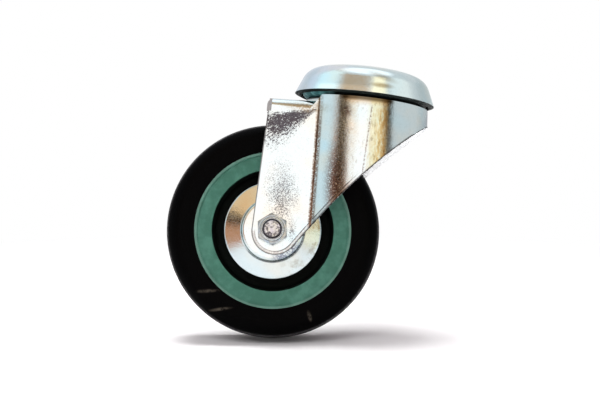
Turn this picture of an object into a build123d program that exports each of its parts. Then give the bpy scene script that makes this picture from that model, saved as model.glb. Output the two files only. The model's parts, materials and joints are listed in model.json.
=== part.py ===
from build123d import *
import math
import os

# Bolt hole swivel caster with a 100 mm wheel, in millimetres.
# The origin is the middle of the mounting face on the swivel axis, +Z up through the bolt hole.
# +X is the front of the crown, the wheel trails to -X, and -Y is the nut side.

# Overall layout
wheel_width = 32.0
wheel_trail = 36.0
wheel_headroom = 30.8
leg_clearance = 3.5

# Hollow kingpin and its bolt bore
bore_radius = 6.5
kingpin_neck_wall = 2.1
kingpin_shoulder = 1.6
kingpin_head_overhang = 1.8
kingpin_foot_overhang = 3.8
kingpin_foot_depth = 2.0
kingpin_fit = 0.05
kingpin_mouth_chamfer = 0.5
kingpin_gap = 3.2

# Domed cap
cap_sheet = 2.5
cap_face_width = 3.08
cap_dome_radius = 22.7
cap_dome_turn = 20.0
cap_shoulder_radius = 9.3
cap_skirt_angle = 67.0
cap_crown_gap = 2.21
cap_recess_depth = 2.4
cap_recess_slope = 65.0
cap_recess_foot = 0.6
cap_recess_edge = 2.9

# Ball races of the swivel head
upper_race_sheet = 3.25
upper_race_flat = 2.48
upper_race_dome_radius = 13.0
upper_race_dome_turn = 24.0
upper_race_bend = 4.6
upper_race_turn = 40.0
upper_ball_radius = 4.37
upper_ball_offset = 3.45
cup_sheet = 2.5
cup_skirt_gap = 0.59
cup_flank_radius = 5.0
cup_flank_turn = 60.0
lower_ball_radius = 3.175
lower_ball_inset = 2.73
lower_race_sheet = 2.5
lower_race_reach = 0.8
lower_race_bend = 5.4
lower_race_turn = 62.0
race_depth = 0.5
race_fit = 0.2
ball_play = 0.06
ball_spacing = 0.25

# Fork
fork_sheet = 2.5
crown_setback = 2.78
crown_rake = 0.064
crown_draft = 0.020
crown_edge_round = 1.2
crown_front_depth = 7.5
crease_radius = 4.0
boss_setback = 3.1
boss_round = 1.0
leg_bend = 4.0
plate_step = 3.1
plate_fall = 2.6
ramp_setback = 7.1
ramp_run = 4.8
leg_end_radius = 10.8
leg_end_forward = 1.2
leg_end_drop = 0.7
leg_rear_lean = 1.4
leg_edge_angle = 56.2
lip_sheet = 2.2
lip_behind_axle = 9.0
lip_bend = 2.9
lip_drop = 3.4
lip_round = 0.9

# Axle
axle_radius = 4.0
axle_hole_play = 0.15
hex_flats = 13.0
hex_face_inset = 0.2
hex_cone_angle = 30.0
bolt_head_height = 5.3
bolt_overhang = 1.4
bolt_end_chamfer = 0.4
nut_hex_height = 5.4
nut_height = 7.8
nut_collar_radius = 5.7
nut_collar_round = 1.0
nut_turn = 8.0
thread_fit = 0.05
insert_wall = 0.9
insert_height = 2.0
insert_sink = 0.3
insert_mouth = 0.35
sleeve_wall = 1.88
sleeve_play = 0.12

# Hub bearing
roller_radius = 1.9
roller_count = 10
roller_inset = 3.6
roller_play = 0.05
roller_round = 0.3
cage_wall = 1.5
cage_end = 2.2
slot_play = 0.12

# Thread guards
guard_sheet = 1.0
guard_bore_play = 0.1
guard_boss_overhang = 2.2
guard_rim_overhang = 6.3
guard_boss_bend = 1.5
guard_boss_turn = 62.0
guard_boss_step = 0.6
guard_foot_bend = 0.8
guard_cone_angle = 17.0
guard_rim_bend = 1.3
guard_rim_turn = 60.0

# Wheel core, sized outwards from its hub
hub_guard_gap = 0.4
hub_nose_wall = 2.5
hub_wall = 6.6
hub_nose_rise = 4.5
web_half = 3.5
web_span = 11.9
web_fillet = 2.0
ring_draft = 1.2
ring_setback = 0.6
ring_wall = 8.0
rim_lip_width = 1.3
rim_lip_height = 0.5
key_height = 2.0
key_half_width = 5.0
key_slope = 2.0

# Tyre
tyre_height = 13.6
sidewall_bulge = 0.5
shoulder_radius = 7.0
tread_crown = 0.4


def polar(size, angle):
    return Vector(size * math.cos(math.radians(angle)), size * math.sin(math.radians(angle)))


# Heights worked out down the swivel head
upper_race_top = -cap_sheet
upper_ball_height = upper_race_top - upper_race_sheet + race_depth - ball_play - upper_ball_radius
cup_base_top = upper_ball_height - upper_ball_radius - ball_play + race_depth
fork_top = cup_base_top - cup_sheet
fork_underside = fork_top - fork_sheet
lower_ball_height = fork_underside + race_depth - ball_play - lower_ball_radius
lower_race_top = lower_ball_height - lower_ball_radius - ball_play + race_depth
lower_race_bottom = lower_race_top - lower_race_sheet
kingpin_bottom = lower_race_bottom - kingpin_foot_depth
cap_seat = -cap_recess_depth
cap_recess_underside = cap_seat - cap_sheet
cap_height = -fork_top - cap_crown_gap
plate_height = fork_top - plate_step

# Radii worked out across the kingpin and the cap, from the bolt bore to the rim
kingpin_neck_radius = bore_radius + kingpin_neck_wall
kingpin_body_radius = kingpin_neck_radius + kingpin_shoulder
kingpin_head_radius = kingpin_neck_radius + kingpin_head_overhang
kingpin_foot_radius = kingpin_neck_radius + kingpin_foot_overhang
slope_way = polar(1, cap_recess_slope)
dome_way = polar(1, cap_dome_turn)
skirt_way = polar(1, cap_skirt_angle)
recess_bends = cap_recess_foot + cap_recess_edge
recess_wall = (cap_recess_depth - recess_bends * (1 - slope_way.X)) / slope_way.Y
recess_reach = recess_bends * slope_way.Y + recess_wall * slope_way.X
seat_radius = kingpin_head_radius + kingpin_fit
mounting_face_radius = seat_radius + recess_reach + cap_face_width
dome_drop = cap_dome_radius * (1 - dome_way.X)
shoulder_drop = cap_shoulder_radius * (dome_way.X - skirt_way.X)
shoulder_reach = cap_shoulder_radius * (skirt_way.Y - dome_way.Y)
skirt_length = (cap_height - dome_drop - shoulder_drop) / skirt_way.Y
skirt_start = mounting_face_radius + cap_dome_radius * dome_way.Y + shoulder_reach
cap_rim_radius = skirt_start + skirt_length * skirt_way.X

# Radii worked out under the cap: the cup's flank follows the inside of the skirt
upper_race_bore = mounting_face_radius - race_fit - upper_race_flat
upper_ball_circle = mounting_face_radius + upper_ball_offset
lower_ball_circle = upper_ball_circle - lower_ball_inset
lower_race_base_radius = lower_ball_circle + lower_race_reach
fork_bore = kingpin_body_radius + kingpin_gap
flank_way = polar(cup_flank_radius, cup_flank_turn)
cup_edge_rise = cap_height + fork_top + cup_flank_radius - flank_way.X
skirt_inside = cap_rim_radius - (cup_edge_rise * skirt_way.X + cap_sheet) / skirt_way.Y
cup_base_radius = skirt_inside - cup_skirt_gap - flank_way.Y
crown_radius = cap_rim_radius - crown_setback
boss_radius = crown_radius - boss_setback
ramp_front = boss_radius - ramp_setback
lip_reach = wheel_trail + lip_behind_axle

# Widths worked out along the axle
leg_inner = wheel_width / 2 + leg_clearance
leg_half_width = leg_inner + fork_sheet
hub_half_width = leg_inner - guard_sheet - hub_guard_gap
hub_shoulder = hub_half_width - hub_nose_rise
roller_length = 2 * (hub_half_width - roller_inset)
ring_half_width = wheel_width / 2 - ring_setback

# Radii worked out from the axle to the tread
sleeve_radius = axle_radius + sleeve_play + sleeve_wall
roller_circle = sleeve_radius + roller_play + roller_radius
hub_bore = roller_circle + roller_radius + roller_play
hub_nose_radius = hub_bore + hub_nose_wall
hub_radius = hub_bore + hub_wall
guard_boss_radius = hub_nose_radius + guard_boss_overhang
guard_rim_radius = hub_radius + guard_rim_overhang
ring_inner_radius = hub_radius + web_span
rim_radius = ring_inner_radius + ring_wall
wheel_radius = rim_radius + tyre_height
axle_depth = wheel_headroom + wheel_radius

# Room round the fork's forms, which its outline then trims
spare = 2 * crown_radius

# The axle's own frame: its z runs out towards the nut side
axle_place = Location((-wheel_trail, 0, -axle_depth)) * Rotation(90, 0, 0)


# Closed section of a pressing. Its first face follows the moves, and its second face lies one
# sheet away on the given side (+1 left, -1 right). A move is (length, 0) or (bend radius, turn).
def pressed_section(start, heading, moves, sheet, side):
    here = Vector(*start)
    first = []
    second = []
    for size, turn in moves:
        normal = polar(sheet, heading + 90 * side)
        if turn == 0:
            there = here + polar(size, heading)
            first.append(Line(here, there))
            second.append(Line(here + normal, there + normal))
        else:
            hand = math.copysign(90, turn)
            centre = here + polar(size, heading + hand)
            middle = centre - polar(size, heading + turn / 2 + hand)
            there = centre - polar(size, heading + turn + hand)
            middle_normal = polar(sheet, heading + turn / 2 + 90 * side)
            end_normal = polar(sheet, heading + turn + 90 * side)
            first.append(ThreePointArc(here, middle, there))
            second.append(ThreePointArc(here + normal, middle + middle_normal, there + end_normal))
        here = there
        heading = heading + turn
    closing = [Line(first[0] @ 0, second[0] @ 0), Line(first[-1] @ 1, second[-1] @ 1)]
    return Face(Wire(first + second + closing))


def turned(section):
    return revolve(Plane.XZ * section, axis=Axis.Z)


def turned_points(*points):
    return turned(make_face(Polyline(*points, close=True)))


def side_slab(section, half_width):
    return extrude(Plane.XZ * section, amount=half_width, both=True)


def ball_groove(circle, height, ball_radius):
    return Pos(0, 0, height) * Torus(circle, ball_radius + race_fit)


# A full row of loose balls, as many as fit round the circle
def ball_row(circle, height, ball_radius):
    pitch = 2 * ball_radius + ball_spacing
    count = math.floor(math.pi / math.asin(pitch / 2 / circle))
    return Compound(PolarLocations(circle, count) * Sphere(ball_radius).moved(Pos(0, 0, height)))


# Domed cap, pressed in one piece: sunk seat for the rivet head, flat mounting face, dome and skirt
def top_cap():
    hole_radius = kingpin_neck_radius + kingpin_fit
    moves = [
        (seat_radius - hole_radius, 0),
        (cap_recess_foot, cap_recess_slope),
        (recess_wall, 0),
        (cap_recess_edge, -cap_recess_slope),
        (cap_face_width, 0),
        (cap_dome_radius, -cap_dome_turn),
        (cap_shoulder_radius, cap_dome_turn - cap_skirt_angle),
        (skirt_length, 0),
    ]
    return turned(pressed_section((hole_radius, cap_seat), 0, moves, cap_sheet, -1))


# Hardened ring nested under the cap, with the groove that the upper balls run in
def upper_race():
    moves = [
        (upper_race_flat, 0),
        (upper_race_dome_radius, -upper_race_dome_turn),
        (upper_race_bend, -upper_race_turn),
    ]
    section = pressed_section((upper_race_bore, upper_race_top), 0, moves, upper_race_sheet, -1)
    return turned(section) - ball_groove(upper_ball_circle, upper_ball_height, upper_ball_radius)


# Bowl that stands on the fork's crown and carries the upper balls: its flank shows under the cap
def bearing_cup():
    moves = [(cup_base_radius - fork_bore, 0), (cup_flank_radius, cup_flank_turn)]
    section = pressed_section((fork_bore, fork_top), 0, moves, cup_sheet, 1)
    return turned(section) - ball_groove(upper_ball_circle, upper_ball_height, upper_ball_radius)


# Dished ring under the crown that the lower balls run in
def lower_race():
    hole_radius = kingpin_neck_radius + kingpin_fit
    moves = [(lower_race_base_radius - hole_radius, 0), (lower_race_bend, lower_race_turn)]
    section = pressed_section((hole_radius, lower_race_bottom), 0, moves, lower_race_sheet, 1)
    return turned(section) - ball_groove(lower_ball_circle, lower_ball_height, lower_ball_radius)


# Hollow shouldered rivet: its body spaces the cap from the lower ring, both ends are upset, and
# its head lies flush with the mounting face
def kingpin():
    return turned_points(
        (bore_radius, kingpin_bottom + kingpin_mouth_chamfer),
        (bore_radius + kingpin_mouth_chamfer, kingpin_bottom),
        (kingpin_foot_radius, kingpin_bottom),
        (kingpin_foot_radius, lower_race_bottom),
        (kingpin_neck_radius, lower_race_bottom),
        (kingpin_neck_radius, lower_race_top),
        (kingpin_body_radius, lower_race_top),
        (kingpin_body_radius, cap_recess_underside),
        (kingpin_neck_radius, cap_recess_underside),
        (kingpin_neck_radius, cap_seat),
        (kingpin_head_radius, cap_seat),
        (kingpin_head_radius, 0),
        (bore_radius, 0),
    )


# Plan of the crown at one height: flat legs that run through a crease into the round front.
# The inset moves every line and arc inwards, which gives the fork's inner face.
def crown_plan(height, inset):
    depth = fork_top - height
    centre_x = crown_rake * depth
    radius = crown_radius + crown_draft * depth - inset
    half = leg_half_width - inset
    crease = crease_radius + inset
    crease_y = half + crease
    crease_x = centre_x - math.sqrt((radius + crease) ** 2 - crease_y ** 2)
    turn = math.degrees(math.atan2(crease_y, centre_x - crease_x))
    near_leg = Line((-spare, -half), (crease_x, -half))
    near_crease = CenterArc((crease_x, -crease_y), crease, 90, turn - 90)
    front = CenterArc((centre_x, 0), radius, turn - 180, 360 - 2 * turn)
    far_crease = CenterArc((crease_x, crease_y), crease, -turn, turn - 90)
    far_leg = Line((crease_x, half), (-spare, half))
    rear = Line((-spare, half), (-spare, -half))
    return Pos(0, 0, height) * Face(Wire([near_leg, near_crease, front, far_crease, far_leg, rear]))


# Region under the crown's top, which ramps down behind the round front to the rear plate
def crown_region(inset):
    ramp_rear = ramp_front + ramp_run
    shape = make_face(Polyline(
        (spare, fork_top),
        (-ramp_front, fork_top),
        (-ramp_rear, plate_height - leg_bend),
        (-2 * spare, plate_height - leg_bend),
        (-2 * spare, -3 * spare),
        (spare, -3 * spare),
        close=True,
    ))
    if inset > 0:
        shape = offset(shape, amount=-inset, kind=Kind.INTERSECTION)
    return side_slab(shape, spare)


def crown_form(inset):
    wall = loft([crown_plan(0, inset), crown_plan(-2 * spare, inset)], ruled=True)
    form = wall & crown_region(inset)
    if inset > 0:
        return form
    top_arc = form.edges().filter_by(GeomType.CIRCLE).sort_by(Axis.Z)[-1]
    return fillet(top_arc, crown_edge_round)


# Straight channel behind the crown: rear plate and both legs, with the long bends between them
def channel_form(inset):
    top = -inset
    half = leg_half_width - inset
    section = Pos(0, top - spare) * Rectangle(2 * half, 2 * spare)
    section = fillet(section.vertices().group_by(Axis.Y)[-1], leg_bend - inset)
    channel = extrude(Plane.YZ * section, amount=spare)
    hinge = Location((-ramp_front - ramp_run, 0, plate_height)) * Rotation(0, -plate_fall, 0)
    return hinge * Pos(ramp_run * 2 - spare, 0, 0) * channel


# Round boss under the bearing cup, which stands above the rear plate
def boss_form(inset):
    boss = Cylinder(boss_radius - inset, 3 * plate_step, align=(Align.CENTER, Align.CENTER, Align.MAX))
    if inset == 0:
        boss = fillet(boss.edges().group_by(Axis.Z)[-1], boss_round)
    return Pos(0, 0, fork_top - inset) * boss


# Side outline of the fork: leaning rear edge, rounded leg end, long bowed lower edge, front corner
def fork_outline():
    end = Vector(-wheel_trail + leg_end_forward, -axle_depth - leg_end_drop)
    rear_tangent = end + polar(leg_end_radius, 180 - leg_rear_lean)
    end_bottom = end + polar(leg_end_radius, 225 + leg_edge_angle / 2)
    edge_start = end + polar(leg_end_radius, leg_edge_angle - 90)
    corner_reach = crown_radius + (crown_rake + crown_draft) * crown_front_depth
    corner = Vector(corner_reach, fork_top - crown_front_depth)
    rear_top = rear_tangent + polar(2 * spare, 90 - leg_rear_lean)
    front_top = Vector(spare, rear_top.Y)
    edges = [
        ThreePointArc(rear_tangent, end_bottom, edge_start),
        TangentArc(edge_start, corner, tangent=polar(1, leg_edge_angle)),
        Line(corner, (spare, corner.Y)),
        Line((spare, corner.Y), front_top),
        Line(front_top, rear_top),
        Line(rear_top, rear_tangent),
    ]
    return Face(Wire(edges))


# Point on the falling rear plate where its edge starts to curl down
def lip_start():
    start_x = lip_bend - lip_reach
    return Vector(start_x, plate_height + (start_x + ramp_front + ramp_run) * polar(1, plate_fall).Y)


# Stiffening lip curled down along the rear edge of the plate
def rear_lip():
    start = lip_start() + Vector(fork_sheet, 0)
    moves = [(fork_sheet, 0), (lip_bend, 90), (lip_drop, 0)]
    section = pressed_section((start.X, start.Y), 180, moves, lip_sheet, 1)
    lip = side_slab(section, leg_half_width - leg_bend)
    foot = lip.faces().sort_by(Axis.Z)[0]
    return fillet(foot.edges().filter_by(Axis.Y), lip_round)


# The rear corner of each leg is cut away beside the lip, so that the lip's end shows
def lip_notches():
    side = leg_half_width - leg_bend
    depth = lip_start().Y - lip_bend - lip_drop
    notch = Box(spare, spare, spare, align=(Align.MAX, Align.MIN, Align.MIN))
    far_notch = Pos(lip_sheet - lip_reach, side, depth) * notch
    return [far_notch, mirror(far_notch, about=Plane.XZ)]


# Stamped fork: crown, rear plate, boss and both legs are one sheet, so each form is made twice,
# once at its outer face and once a sheet inside it
def fork():
    outer = crown_form(0) + channel_form(0) + boss_form(0)
    inner = crown_form(fork_sheet) + channel_form(fork_sheet) + boss_form(fork_sheet)
    sheet = (outer - inner) & side_slab(fork_outline(), spare)
    for notch in lip_notches():
        sheet = sheet - notch
    sheet = sheet + rear_lip()
    sheet = sheet - Pos(0, 0, fork_underside) * Cylinder(fork_bore, 4 * fork_sheet)
    sheet = sheet - ball_groove(lower_ball_circle, lower_ball_height, lower_ball_radius)
    return sheet - axle_place * Cylinder(axle_radius + axle_hole_play, 3 * leg_half_width)


# Hexagon with sharp corners, whose outer end is turned to a shallow cone, standing on z = 0
def hex_block(height):
    stock = RegularPolygon(hex_flats / 2, 6, major_radius=False, rotation=30)
    face_radius = hex_flats / 2 - hex_face_inset
    cone_drop = (hex_flats - face_radius) * math.tan(math.radians(hex_cone_angle))
    blank = turned_points(
        (0, 0), (hex_flats, 0), (hex_flats, height - cone_drop), (face_radius, height), (0, height)
    )
    return extrude(stock, amount=height) & blank


# Hexagon bolt through both legs, its head on the far side
def axle_bolt():
    end = leg_half_width + nut_height + bolt_overhang
    shank = Cylinder(axle_radius, end + leg_half_width, align=(Align.CENTER, Align.CENTER, Align.MIN))
    shank = chamfer(shank.edges().group_by(Axis.Z)[-1], bolt_end_chamfer)
    head = Rotation(180, 0, 0) * hex_block(bolt_head_height)
    return axle_place * Pos(0, 0, -leg_half_width) * (shank + head)


# Lock nut: hexagon, round collar and the pocket for its insert
def axle_nut():
    collar = Cylinder(nut_collar_radius, nut_height, align=(Align.CENTER, Align.CENTER, Align.MIN))
    collar = fillet(collar.edges().group_by(Axis.Z)[-1], nut_collar_round)
    nut = hex_block(nut_hex_height) + collar
    nut = nut - Cylinder(axle_radius + thread_fit, 3 * nut_height)
    pocket_floor = nut_height - insert_height - insert_sink
    pocket = Cylinder(
        axle_radius + thread_fit + insert_wall + thread_fit,
        nut_height,
        align=(Align.CENTER, Align.CENTER, Align.MIN),
    )
    nut = nut - Pos(0, 0, pocket_floor) * pocket
    return axle_place * Pos(0, 0, leg_half_width) * Rotation(0, 0, nut_turn) * nut


# Soft ring in the nut's collar that grips the bolt
def nut_insert():
    inner = axle_radius + thread_fit
    outer = inner + insert_wall
    low = leg_half_width + nut_height - insert_height - insert_sink
    high = low + insert_height
    return axle_place * turned_points(
        (inner, low), (outer, low), (outer, high), (inner + insert_mouth, high), (inner, high - insert_mouth)
    )


# Steel sleeve clamped between the legs, on which the rollers run
def axle_sleeve():
    inner = axle_radius + sleeve_play
    return axle_place * turned_points(
        (inner, -leg_inner), (sleeve_radius, -leg_inner), (sleeve_radius, leg_inner), (inner, leg_inner)
    )


# Full-length rollers round the sleeve
def bearing_rollers():
    roller = fillet(Cylinder(roller_radius, roller_length).edges(), roller_round)
    return axle_place * Compound(PolarLocations(roller_circle, roller_count) * roller)


# Cage tube with one slot for each roller
def roller_cage():
    half = roller_length / 2 + cage_end
    inner = roller_circle - cage_wall / 2
    outer = roller_circle + cage_wall / 2
    cage = turned_points((inner, -half), (outer, -half), (outer, half), (inner, half))
    slot = Cylinder(roller_radius + slot_play, roller_length + 2 * slot_play)
    for place in PolarLocations(roller_circle, roller_count):
        cage = cage - place * slot
    return axle_place * cage


# Pressed dish that keeps thread out of the hub: flat boss against the leg, step, cone, curled rim
def thread_guard():
    bore = sleeve_radius + guard_bore_play
    boss_turn = polar(1, guard_boss_turn)
    cone = polar(1, guard_cone_angle)
    rim_end = polar(1, guard_cone_angle + guard_rim_turn)
    foot_reach = guard_foot_bend * (boss_turn.Y - cone.Y)
    boss_reach = guard_boss_bend * boss_turn.Y + guard_boss_step * boss_turn.X
    rim_reach = guard_rim_bend * (rim_end.Y - cone.Y)
    cone_start = guard_boss_radius + foot_reach
    cone_length = (guard_rim_radius - cone_start - rim_reach) / cone.X
    moves = [
        (guard_boss_radius - boss_reach - bore, 0),
        (guard_boss_bend, -guard_boss_turn),
        (guard_boss_step, 0),
        (guard_foot_bend, guard_boss_turn - guard_cone_angle),
        (cone_length, 0),
        (guard_rim_bend, -guard_rim_turn),
    ]
    return turned(pressed_section((bore, leg_inner), 0, moves, guard_sheet, -1))


# Half section of the plastic wheel core, from the hub bore out to the tyre seat
def core_half():
    rim_corner = rim_radius - rim_lip_width
    face = ring_half_width
    points = [
        (hub_bore, 0),
        (hub_bore, hub_half_width),
        (hub_nose_radius, hub_half_width),
        (hub_radius, hub_shoulder),
        (hub_radius + ring_draft, web_half),
        (ring_inner_radius - ring_draft, web_half),
        (ring_inner_radius, face),
        (rim_corner, face),
        (rim_corner, face + rim_lip_height),
        (rim_radius, face + rim_lip_height),
        (rim_radius, key_half_width + key_slope),
        (rim_radius + key_height, key_half_width),
        (rim_radius + key_height, 0),
    ]
    section = make_face(Polyline(*points, close=True))
    web_corners = section.vertices().filter_by_position(Axis.Y, web_half, web_half)
    return fillet(web_corners, web_fillet)


def both_sides(section):
    half = turned(section)
    return half + mirror(half, about=Plane.XY)


def wheel_core():
    return axle_place * both_sides(core_half())


# Rubber tyre on the core's rim and its raised key
def tyre():
    half_width = wheel_width / 2
    side_top = wheel_radius - tread_crown - shoulder_radius
    crown_arc_end = (wheel_radius - tread_crown, half_width - shoulder_radius)
    corner = polar(shoulder_radius, 45)
    shoulder_mid = (side_top + corner.X, half_width - shoulder_radius + corner.Y)
    edges = [
        Line((rim_radius + key_height, 0), (rim_radius + key_height, key_half_width)),
        Line((rim_radius + key_height, key_half_width), (rim_radius, key_half_width + key_slope)),
        Line((rim_radius, key_half_width + key_slope), (rim_radius, half_width - sidewall_bulge)),
        TangentArc((side_top, half_width), (rim_radius, half_width - sidewall_bulge), tangent=(-1, 0)),
        ThreePointArc((side_top, half_width), shoulder_mid, crown_arc_end),
        TangentArc((wheel_radius, 0), crown_arc_end, tangent=(0, 1)),
        Line((wheel_radius, 0), (rim_radius + key_height, 0)),
    ]
    return axle_place * both_sides(Face(Wire(edges)))


parts = {
    "top_cap": top_cap(),
    "upper_race": upper_race(),
    "upper_balls": ball_row(upper_ball_circle, upper_ball_height, upper_ball_radius),
    "bearing_cup": bearing_cup(),
    "fork": fork(),
    "lower_balls": ball_row(lower_ball_circle, lower_ball_height, lower_ball_radius),
    "lower_race": lower_race(),
    "kingpin": kingpin(),
    "axle_bolt": axle_bolt(),
    "axle_nut": axle_nut(),
    "nut_insert": nut_insert(),
    "axle_sleeve": axle_sleeve(),
    "thread_guard_near": axle_place * thread_guard(),
    "thread_guard_far": axle_place * mirror(thread_guard(), about=Plane.XY),
    "roller_cage": roller_cage(),
    "bearing_rollers": bearing_rollers(),
    "wheel_core": wheel_core(),
    "tyre": tyre(),
}

os.makedirs("parts", exist_ok=True)
for name, shape in parts.items():
    export_step(shape, "parts/" + name + ".step")
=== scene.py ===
import json
import math

import bpy
from mathutils import Matrix, Vector

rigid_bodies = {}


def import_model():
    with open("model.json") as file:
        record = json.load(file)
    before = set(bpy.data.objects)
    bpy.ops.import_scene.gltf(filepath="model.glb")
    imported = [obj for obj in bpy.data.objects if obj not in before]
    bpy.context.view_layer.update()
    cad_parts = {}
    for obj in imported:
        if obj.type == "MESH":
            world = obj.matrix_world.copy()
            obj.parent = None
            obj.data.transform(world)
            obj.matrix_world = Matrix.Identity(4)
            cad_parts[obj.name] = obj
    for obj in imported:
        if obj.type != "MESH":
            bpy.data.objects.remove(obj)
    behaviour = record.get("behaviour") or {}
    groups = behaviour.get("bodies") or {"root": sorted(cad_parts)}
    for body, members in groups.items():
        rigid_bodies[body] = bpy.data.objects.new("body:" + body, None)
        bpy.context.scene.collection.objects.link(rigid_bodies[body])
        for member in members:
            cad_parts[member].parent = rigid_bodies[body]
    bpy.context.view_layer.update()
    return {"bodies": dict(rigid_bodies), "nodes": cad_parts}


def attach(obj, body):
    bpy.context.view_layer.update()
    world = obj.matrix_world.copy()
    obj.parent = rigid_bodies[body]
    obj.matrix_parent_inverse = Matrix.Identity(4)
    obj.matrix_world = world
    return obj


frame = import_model()
print("frame loaded:", len(frame["nodes"]), "nodes")

# where things are, in metres, in the caster's own frame
wheelCentre = Vector((-0.036, 0.0, -0.0808))
forkTop = -0.0161

# in the looks below a range is (low, high) or (low, high, value at low, value at high), a span is
# (low, high, soft edge), and a spot is (middle, radii, turn in degrees, soft share) from the side


# a socket of a node tree; sums on it add Math nodes
class Flow:
    def __init__(self, paint, socket):
        self.paint = paint
        self.socket = socket

    def math(self, operation, *values):
        return self.paint.node("ShaderNodeMath", {"operation": operation}, dict(enumerate(values)))

    def __add__(self, other): return self.math("ADD", self, other)
    def __radd__(self, other): return self.math("ADD", other, self)
    def __sub__(self, other): return self.math("SUBTRACT", self, other)
    def __rsub__(self, other): return self.math("SUBTRACT", other, self)
    def __mul__(self, other): return self.math("MULTIPLY", self, other)
    def __rmul__(self, other): return self.math("MULTIPLY", other, self)
    def __abs__(self): return self.math("ABSOLUTE", self)

    def root(self): return self.math("SQRT", self)
    def least(self, other): return self.math("MINIMUM", self, other)
    def most(self, other): return self.math("MAXIMUM", self, other)
    def angle(self, other): return self.math("ARCTAN2", self, other)

    # smooth step from start at low to end at high
    def between(self, low, high, start=0.0, end=1.0):
        return self.paint.node("ShaderNodeMapRange",
                               {"interpolation_type": "SMOOTHSTEP", "clamp": True},
                               {"Value": self, "From Min": low, "From Max": high,
                                "To Min": start, "To Max": end})

    # 1 from low to high, 0 past them
    def band(self, low, high, soft):
        return self.between(low - soft, low) * self.between(high + soft, high)


# a material or a world and the nodes in it
class Paint:
    def __init__(self, owner):
        owner.use_nodes = True
        self.owner = owner
        self.tree = owner.node_tree
        self.tree.nodes.clear()

    def node(self, kind, settings=None, inputs=None, out=0):
        made = self.tree.nodes.new(kind)
        for name, value in (settings or {}).items():
            setattr(made, name, value)
        for name, value in (inputs or {}).items():
            entry = made.inputs[name]
            if isinstance(value, Flow):
                self.tree.links.new(value.socket, entry)
            elif entry.type == "RGBA" and len(value) == 3:
                entry.default_value = (*value, 1.0)
            else:
                entry.default_value = value
        return Flow(self, made.outputs[out]) if made.outputs else None

    def place(self):
        return self.node("ShaderNodeTexCoord", out="Object")

    def moved(self, vector, shift=(0, 0, 0), stretch=(1, 1, 1)):
        return self.node("ShaderNodeMapping", {"vector_type": "POINT"},
                         {"Vector": vector, "Location": shift, "Scale": stretch})

    def xyz(self, vector):
        split = self.node("ShaderNodeSeparateXYZ", inputs={"Vector": vector}).socket.node
        return [Flow(self, split.outputs[i]) for i in range(3)]

    def joined(self, x, y, z):
        return self.node("ShaderNodeCombineXYZ", inputs={"X": x, "Y": y, "Z": z})

    # size is that of one blotch, in metres
    def noise(self, vector, size, detail=2.0, roughness=0.5):
        return self.node("ShaderNodeTexNoise", {"noise_dimensions": "3D"},
                         {"Vector": vector, "Scale": 1.0 / size,
                          "Detail": detail, "Roughness": roughness})

    def mix(self, share, first, second):
        return self.node("ShaderNodeMix", {"data_type": "RGBA", "clamp_factor": True},
                         {0: share, 6: first, 7: second}, out=2)

    def bump(self, height, depth, under=None):
        inputs = {"Height": height, "Strength": 1.0, "Distance": depth}
        if under is not None:
            inputs["Normal"] = under
        return self.node("ShaderNodeBump", None, inputs)

    def finish(self, **inputs):
        named = {name.replace("_", " "): value for name, value in inputs.items()}
        shader = self.node("ShaderNodeBsdfPrincipled", None, named)
        self.node("ShaderNodeOutputMaterial", None, {"Surface": shader})
        return self.owner


# how far from the wheel's axis, and how far out along it
def wheelPlace(paint):
    x, y, z = paint.xyz(paint.place())
    dx, dz = x - wheelCentre.x, z - wheelCentre.z
    return (dx * dx + dz * dz).root(), abs(y)


# a soft spot: 1 at its middle, 0 past its radii
def sideSpot(x, z, middle, radii, turn, soft):
    cosine, sine = math.cos(math.radians(turn)), math.sin(math.radians(turn))
    dx, dz = x - middle[0], z - middle[1]
    along = (dx * cosine + dz * sine) * (1.0 / radii[0])
    across = (dz * cosine - dx * sine) * (1.0 / radii[1])
    return (along * along + across * across).root().between(1.0, 1.0 - soft)


zincLook = {
    "plain": (0.50, 0.585, 0.605),      # bare bright zinc
    "warm": (0.56, 0.575, 0.53),        # the faint yellow of the passivation
    "warmRange": (0.42, 0.72),
    "cool": (0.47, 0.59, 0.63),
    "coolRange": (0.50, 0.75),
    "coolShift": (0.3, 0.1, 0.7),
    "coolSize": 0.8,                    # as a share of tintSize
    "tintSize": 0.022,
    "grainSize": 0.00080,               # orange peel of the plated sheet
    "grainDepth": 0.000030,
    "grainTint": (0.20, 0.21, 0.20),
    "grainRange": (0.50, 0.30),
    "grainShade": 0.16,
    "waveSize": 0.0045,
    "waveDepth": 0.00004,
    "roughness": 0.13,
    "grainRoughness": 0.08,
    "grainRoughRange": (0.35, 0.75),
    "driftRoughness": 0.04,
}


# zinc plate: grain, soft waves and a blue to yellow drift
def zincParts(paint, place, look):
    drift = paint.noise(place, look["tintSize"], 3.0, 0.55)
    tint = paint.mix(drift.between(*look["warmRange"]), look["plain"], look["warm"])
    cool = paint.noise(paint.moved(place, look["coolShift"]), look["tintSize"] * look["coolSize"])
    tint = paint.mix(cool.between(*look["coolRange"]), tint, look["cool"])
    grain = paint.noise(place, look["grainSize"], 4.0, 0.65)
    shade = grain.between(*look["grainRange"]) * look["grainShade"]
    tint = paint.mix(shade, tint, look["grainTint"])
    normal = paint.bump(paint.noise(place, look["waveSize"]), look["waveDepth"])
    normal = paint.bump(grain, look["grainDepth"], normal)
    rough = look["roughness"] + look["grainRoughness"] * grain.between(*look["grainRoughRange"])
    rough = rough + look["driftRoughness"] * drift
    return tint, rough, normal, grain


def zincPlate(name):
    paint = Paint(bpy.data.materials.new(name))
    tint, rough, normal, grain = zincParts(paint, paint.place(), zincLook)
    return paint.finish(Base_Color=tint, Metallic=1.0, Roughness=rough, Normal=normal)


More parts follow.
